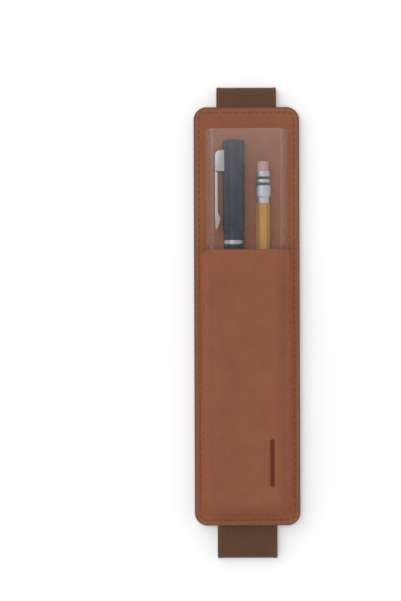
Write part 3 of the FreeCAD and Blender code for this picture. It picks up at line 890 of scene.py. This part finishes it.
plating, tree, shader = start_material("bright_plating")
smudge, scratch = add_marks(tree, 5000.0)
fill(
    tree,
    shader,
    {
        "Base Color": shade(tree, (0.32, 0.315, 0.33, 1.0), vary(tree, smudge, 0.95, 1.04)),
        "Metallic": 1.0,
        "Roughness": vary(tree, scratch, 0.3, 0.4),
    },
)
ring_low, ring_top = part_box("cap_ring")
ring_radius = ring_top.x - pen_axis.x
ring = add_piece(
    turn(
        [
            (ring_seat, ring_low.y, 0),
            (ring_radius, ring_low.y, 0.2 * mm),
            (ring_radius, ring_top.y, 0.2 * mm),
            (ring_seat, ring_top.y, 0),
        ],
        pen_axis,
    ),
    "plated_ring",
    plating,
)
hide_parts("cap_ring")
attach(ring, "cap")

# Clip
# A plated lever with a narrow foot, sprung on a pin between the two cheeks of a block on the cap's side.
# Cheeks, core and lever are stamped from sheet, and their edges are tumbled round.


def stamp_plate(outline, low_z, high_z, edge_round):
    """A plate stamped to an outline of (x, y, rounding) points, with its edges tumbled round."""
    bm = bmesh.new()
    points = [bm.verts.new((x, y, low_z)) for x, y, rounding in outline]
    bm.faces.new(points)
    for point, (x, y, rounding) in zip(points, outline):
        if rounding > 0:
            bmesh.ops.bevel(
                bm, geom=[point], offset=rounding, affect="VERTICES", segments=4, profile=0.5, material=-1
            )
    lifted = bmesh.ops.extrude_face_region(bm, geom=bm.faces[:])["geom"]
    upper = [item for item in lifted if isinstance(item, bmesh.types.BMVert)]
    bmesh.ops.translate(bm, vec=(0, 0, high_z - low_z), verts=upper)
    rims = [edge for edge in bm.edges if abs(edge.verts[0].co.z - edge.verts[1].co.z) < same_place]
    bmesh.ops.bevel(bm, geom=rims, offset=edge_round, affect="EDGES", segments=3, profile=0.5, material=-1)
    bmesh.ops.recalc_face_normals(bm, faces=bm.faces[:])
    return bm


def gather(*parts):
    """Several meshes brought together in one."""
    whole = bmesh.new()
    for part in parts:
        mesh = bpy.data.meshes.new("part")
        part.to_mesh(mesh)
        part.free()
        whole.from_mesh(mesh)
        bpy.data.meshes.remove(mesh)
    return whole


head_low, head_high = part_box("clip_head")
lever_low, lever_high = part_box("clip_lever")
pin_low, pin_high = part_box("clip_pin")
lever_sheet = 1.6 * mm
head_slope = 1.6 * mm
slot_side = 0.15 * mm
slot_room = 0.3 * mm
pin_proud = 0.06 * mm
core_inset = 0.12 * mm
core_lap = 0.1 * mm
core_round = 0.05 * mm
tumbled = 0.25 * mm
slot_back = head_low.x + lever_sheet + slot_room
slot_top = (pin_low.y + pin_high.y) / 2 + lever_sheet / 2 + slot_room
cheek_outline = [
    (head_low.x, head_low.y, 0.3 * mm),
    (head_high.x, head_low.y, 0),
    (head_high.x, head_high.y, 0),
    (head_low.x + head_slope, head_high.y, 0.6 * mm),
    (head_low.x, head_high.y - head_slope, 0.6 * mm),
]
core_outline = [
    (slot_back, head_low.y + core_inset, 0),
    (head_high.x, head_low.y + core_inset, 0),
    (head_high.x, head_high.y - core_inset, 0),
    (head_low.x + head_slope, head_high.y - core_inset, 0.6 * mm),
    (head_low.x + core_inset, head_high.y - head_slope, 0.6 * mm),
    (head_low.x + core_inset, slot_top, 0.2 * mm),
    (slot_back, slot_top, 0),
]
cheek_in = lever_low.z - slot_side
cheek_out = lever_high.z + slot_side
head = gather(
    stamp_plate(cheek_outline, head_low.z + pin_proud, cheek_in, tumbled),
    stamp_plate(cheek_outline, cheek_out, head_high.z - pin_proud, tumbled),
    stamp_plate(core_outline, cheek_in - core_lap, cheek_out + core_lap, core_round),
)
clip_block = add_piece(head, "clip_block", plating)
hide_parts("clip_head")
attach(clip_block, "cap")

foot_length = 5.2 * mm
foot_half = 0.45 * mm
foot_middle = lever_low.x + lever_sheet / 2
foot_swell = lever_low.y + foot_length
lever_in = lever_low.x + lever_sheet
lever = stamp_plate(
    [
        (lever_low.x, lever_high.y, 0.78 * mm),
        (lever_low.x, foot_swell, 1.2 * mm),
        (foot_middle - foot_half, lever_low.y, 0.3 * mm),
        (foot_middle + foot_half, lever_low.y, 0.3 * mm),
        (lever_high.x, foot_swell, 0.5 * mm),
        (lever_in, foot_swell + foot_length / 2, 0.8 * mm),
        (lever_in, lever_high.y, 0.78 * mm),
    ],
    lever_low.z,
    lever_high.z,
    tumbled,
)
clip_lever = add_piece(lever, "clip_spring_lever", plating)
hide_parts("clip_lever")
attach(clip_lever, "clip")
dress(plating, "clip_pin")

# Pen barrel
# Turned from the same resin as the cap, bored for the cartridge and rounded at its end.

barrel_low, barrel_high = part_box("pen_barrel")
barrel_radius = barrel_high.x - pen_axis.x
barrel_end_radius = 4.1 * mm
barrel_bore = barrel_radius - 1.25 * mm
bore_bottom = barrel_high.y - 56.0 * mm
barrel = add_piece(
    turn(
        [
            (0, bore_bottom, 0),
            (barrel_bore, bore_bottom, 0),
            (barrel_bore, barrel_high.y, 0.2 * mm),
            (barrel_radius, barrel_high.y, 0.3 * mm),
            (barrel_radius, bore_bottom, 4.0 * mm),
            (barrel_end_radius, barrel_low.y, 2.2 * mm),
            (0, barrel_low.y, 0),
        ],
        pen_axis,
    ),
    "barrel_shell",
    resin,
)
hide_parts("pen_barrel")
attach(barrel, "barrel")

# Grip, feed and inner cap
# Moulded in black plastic: the grip screws into the barrel and holds the finned feed,
# and the inner cap seals the nib.

black_plastic, tree, shader = start_material("black_plastic")
smudge, scratch = add_marks(tree, 3000.0)
fill(
    tree,
    shader,
    {
        "Base Color": shade(tree, (0.012, 0.012, 0.013, 1.0), vary(tree, smudge, 0.8, 1.3)),
        "Roughness": vary(tree, scratch, 0.28, 0.45),
    },
)
dress(black_plastic, "pen_section", "pen_feed", "cap_liner")

# Nib
# A curved sheet of polished steel, slit to its breather hole and drawn out to a point.

nib_steel, tree, shader = start_material("nib_steel")
smudge, scratch = add_marks(tree, 6000.0)
fill(
    tree,
    shader,
    {
        "Base Color": shade(tree, (0.66, 0.65, 0.64, 1.0), vary(tree, smudge, 0.93, 1.05)),
        "Metallic": 1.0,
        "Roughness": vary(tree, scratch, 0.16, 0.3),
    },
)
dress(nib_steel, "pen_nib")

# Ink cartridge
# A blow-moulded tube of blue polythene, pushed on to the grip's neck inside the barrel.

cartridge_plastic, tree, shader = start_material("cartridge_plastic")
smudge, scratch = add_marks(tree, 2000.0)
fill(
    tree,
    shader,
    {
        "Base Color": shade(tree, (0.03, 0.06, 0.25, 1.0), vary(tree, smudge, 0.8, 1.2)),
        "Roughness": vary(tree, scratch, 0.2, 0.35),
    },
)
dress(cartridge_plastic, "ink_cartridge")

# Pencil
# Six-sided cedar under ochre lacquer, a little darker along the corners.
# It is sharpened to bare wood, around a graphite core.

casing_low, casing_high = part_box("pencil_casing")
pencil_axis = (casing_low + casing_high) / 2
lacquer, tree, shader = start_material("lacquered_cedar")
coordinates = put(tree, "TexCoord")
place = coordinates.outputs["Object"]
smudge, scratch = add_marks(tree, 2200.0)
slope = put(tree, "SeparateXYZ", {0: coordinates.outputs["Normal"]}).outputs["Y"]
sharpened = spread(tree, slope, -0.06, -0.1, 0.0, 1.0)
long_grain = put(tree, "Mapping", {"Vector": place, "Scale": (1.0, 0.05, 1.0)})
fibre = {"Vector": long_grain.outputs[0], "Scale": 2600.0, "Detail": 4.0}
cedar = put(tree, "TexNoise", fibre).outputs["Fac"]
bare_wood = ramp(tree, cedar, [(0.3, seen(176, 124, 84)), (0.7, seen(222, 178, 134))])
apart = put(tree, "SeparateXYZ", {0: place})
from_axis_x = combine(tree, "SUBTRACT", apart.outputs["X"], pencil_axis.x)
from_axis_z = combine(tree, "SUBTRACT", apart.outputs["Z"], pencil_axis.z)
around = combine(tree, "ARCTAN2", from_axis_z, from_axis_x)
from_corner = combine(tree, "PINGPONG", around, math.radians(30))
# The lacquer is a little darker along the corners.
darker_at_corners = spread(tree, from_corner, math.radians(2), math.radians(7), 0.78, 1.0)
paint_tone = combine(tree, "MULTIPLY", darker_at_corners, vary(tree, smudge, 0.94, 1.05))
paint = shade(tree, (0.415, 0.21, 0.044, 1.0), paint_tone)
lacquer_gloss = vary(tree, scratch, 0.28, 0.4)
fill(
    tree,
    shader,
    {
        "Base Color": mix(tree, sharpened, paint, bare_wood),
        "Roughness": combine(tree, "ADD", lacquer_gloss, combine(tree, "MULTIPLY", sharpened, 0.4)),
        "Specular IOR Level": 0.3,
    },
)
dress(lacquer, "pencil_casing")

graphite, tree, shader = start_material("graphite")
smudge, scratch = add_marks(tree, 4000.0)
fill(
    tree,
    shader,
    {
        "Base Color": shade(tree, (0.05, 0.05, 0.055, 1.0), vary(tree, scratch, 0.7, 1.3)),
        "Metallic": 0.4,
        "Roughness": vary(tree, smudge, 0.4, 0.55),
    },
)
dress(graphite, "pencil_lead")

# Pencil ferrule
# A thin aluminium tube rolled into two rings and a wide collar, and crimped on to wood and rubber.
# Its grooves are painted near black, as dirt and as painted shade in the crevices.

ferrule_low, ferrule_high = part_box("pencil_ferrule")
eraser_radius = 3.0 * mm
tube_radius = 3.3 * mm
rolled_radius = 3.65 * mm
groove_floor = tube_radius - 0.15 * mm
groove_brim = tube_radius + 0.1 * mm
wide_radius = ferrule_high.x - pencil_axis.x
first_groove = ferrule_high.y - 3.0 * mm
second_ring = first_groove - 1.0 * mm
second_groove = second_ring - 2.0 * mm
collar_top = second_groove - 1.0 * mm
collar_bottom = collar_top - 6.1 * mm
bm = turn(
    [
        (eraser_radius, ferrule_low.y, 0),
        (tube_radius, ferrule_low.y, 0.1 * mm),
        (tube_radius, collar_bottom, 0.3 * mm),
        (wide_radius, collar_bottom, 1.6 * mm),
        (wide_radius, collar_top, 0.9 * mm),
        (groove_floor, collar_top, 0),
        (groove_floor, second_groove, 0),
        (rolled_radius, second_groove, 0.5 * mm),
        (rolled_radius, second_ring, 0.5 * mm),
        (groove_floor, second_ring, 0),
        (groove_floor, first_groove, 0),
        (rolled_radius, first_groove, 0.5 * mm),
        (rolled_radius, ferrule_high.y, 0.35 * mm),
        (eraser_radius, ferrule_high.y, 0),
    ],
    pencil_axis,
)
# The sunk layer marks the groove faces, painted near black as dirt and painted shade.
sunk = bm.verts.layers.float.new("sunk")
for vert in bm.verts:
    in_groove = second_groove > vert.co.y - same_place > collar_top - 2 * same_place
    in_groove = in_groove or first_groove > vert.co.y - same_place > second_ring - 2 * same_place
    radius = math.hypot(vert.co.x - pencil_axis.x, vert.co.z - pencil_axis.z)
    vert[sunk] = 1.0 if in_groove and radius < groove_brim else 0.0

aluminium, tree, shader = start_material("drawn_aluminium")
smudge, scratch = add_marks(tree, 7000.0)
# Dirt and painted shade in the grooves: near black, less metallic and rougher.
groove_dirt_and_shade = put(tree, "Attribute", attribute_name="sunk").outputs["Fac"]
bright = shade(tree, (0.435, 0.445, 0.475, 1.0), vary(tree, smudge, 0.92, 1.05))
drawn_finish = vary(tree, scratch, 0.42, 0.56)
fill(
    tree,
    shader,
    {
        "Base Color": mix(tree, groove_dirt_and_shade, bright, (0.05, 0.045, 0.042, 1.0)),
        "Metallic": spread(tree, groove_dirt_and_shade, 0.0, 1.0, 0.85, 0.2),
        "Roughness": combine(tree, "ADD", drawn_finish, combine(tree, "MULTIPLY", groove_dirt_and_shade, 0.3)),
    },
)
ferrule = add_piece(bm, "rolled_ferrule", aluminium)
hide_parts("pencil_ferrule")
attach(ferrule, "pencil")

# Eraser
# A plug of pink rubber pushed into the ferrule, rounded and a little dusty from use.

eraser_low, eraser_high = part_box("pencil_eraser")
rubber, tree, shader = start_material("pink_rubber")
place = put(tree, "TexCoord").outputs["Object"]
dust = put(tree, "TexNoise", {"Vector": place, "Scale": 2400.0, "Detail": 5.0}).outputs["Fac"]
fill(
    tree,
    shader,
    {
        "Base Color": shade(tree, (0.46, 0.27, 0.26, 1.0), vary(tree, dust, 0.85, 1.1)),
        "Roughness": vary(tree, dust, 0.75, 0.9),
        "Specular IOR Level": 0.3,
        "Normal": put(tree, "Bump", {"Strength": 0.25, "Distance": 0.1 * mm, "Height": dust}).outputs[0],
    },
)
eraser = add_piece(
    turn(
        [
            (0, eraser_low.y, 0),
            (eraser_radius, eraser_low.y, 0),
            (eraser_radius, eraser_high.y, 1.0 * mm),
            (0, eraser_high.y, 0),
        ],
        pencil_axis,
    ),
    "rubber_plug",
    rubber,
)
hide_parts("pencil_eraser")
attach(eraser, "pencil")

# Stage
# A plain pale table under soft studio light, seen from straight above.

table_half = 2.0
table_drop = 0.2 * mm
table_glow = 0.13


def seen_by_camera(tree):
    """1 for a ray from the camera, straight, off a gloss or through clear film, and 0 for any other."""
    ray = put(tree, "LightPath").outputs
    straight_or_gloss = combine(tree, "ADD", ray["Is Camera Ray"], ray["Is Glossy Ray"])
    return combine(tree, "ADD", straight_or_gloss, ray["Is Transmission Ray"])


floor_mesh = bpy.data.meshes.new("floor")
bm = bmesh.new()
bmesh.ops.create_grid(bm, x_segments=1, y_segments=1, size=table_half)
bmesh.ops.translate(bm, vec=(0, 0, -table_drop), verts=bm.verts)
bm.to_mesh(floor_mesh)
bm.free()
table, tree, shader = start_material("pale_table")
fill(
    tree,
    shader,
    {
        "Base Color": (0.9, 0.9, 0.9, 1.0),
        "Roughness": 0.7,
        "Specular IOR Level": 0.2,
        "Emission Color": (1.0, 1.0, 1.0, 1.0),
        "Emission Strength": combine(tree, "MULTIPLY", seen_by_camera(tree), table_glow),
    },
)
floor_mesh.materials.append(table)
floor = bpy.data.objects.new("floor", floor_mesh)
bpy.context.scene.collection.objects.link(floor)

studio = bpy.data.worlds.new("studio")
studio.use_nodes = True
tree = studio.node_tree
skyward = put(tree, "SeparateXYZ", {0: put(tree, "TexCoord").outputs["Generated"]}).outputs["Z"]
dome = ramp(tree, skyward, [(0.0, (0.39, 0.39, 0.39, 1.0)), (1.0, (0.61, 0.61, 0.61, 1.0))])
backdrop = mix(tree, seen_by_camera(tree), dome, (1.0, 1.0, 1.0, 1.0))
fill(tree, tree.nodes["Background"], {"Color": backdrop, "Strength": 1.0})
bpy.context.scene.world = studio


def hang_softbox(name, place, size, watts):
    """A square soft light aimed at the object."""
    light = bpy.data.lights.new(name, "AREA")
    light.shape = "SQUARE"
    light.size = size
    light.energy = watts
    softbox = bpy.data.objects.new(name, light)
    softbox.location = place
    softbox.rotation_euler = (-softbox.location).to_track_quat("-Z", "Y").to_euler()
    bpy.context.scene.collection.objects.link(softbox)
    return softbox


hang_softbox("key_light", place=(-0.5, 0.5, 1.2), size=0.9, watts=3.9)
fill_light = hang_softbox("fill_light", place=(-0.1, 0.0, 1.6), size=0.5, watts=8.5)
fill_light.visible_glossy = False

camera_data = bpy.data.cameras.new("camera")
camera_height = 1.5
camera_x = -23.3 * mm
camera_y = 11.3 * mm
camera_roll = math.radians(-0.2)
picture_rows = 601
row_height = 0.502 * mm
view_height = picture_rows * row_height
camera_data.sensor_width = 36.0
camera_data.lens = camera_data.sensor_width * camera_height / view_height
camera = bpy.data.objects.new("camera", camera_data)
camera.location = (camera_x, camera_y, bed + camera_height)
camera.rotation_euler = (0, 0, camera_roll)
bpy.context.scene.collection.objects.link(camera)
bpy.context.scene.camera = camera
bpy.context.scene.view_settings.view_transform = "Standard"
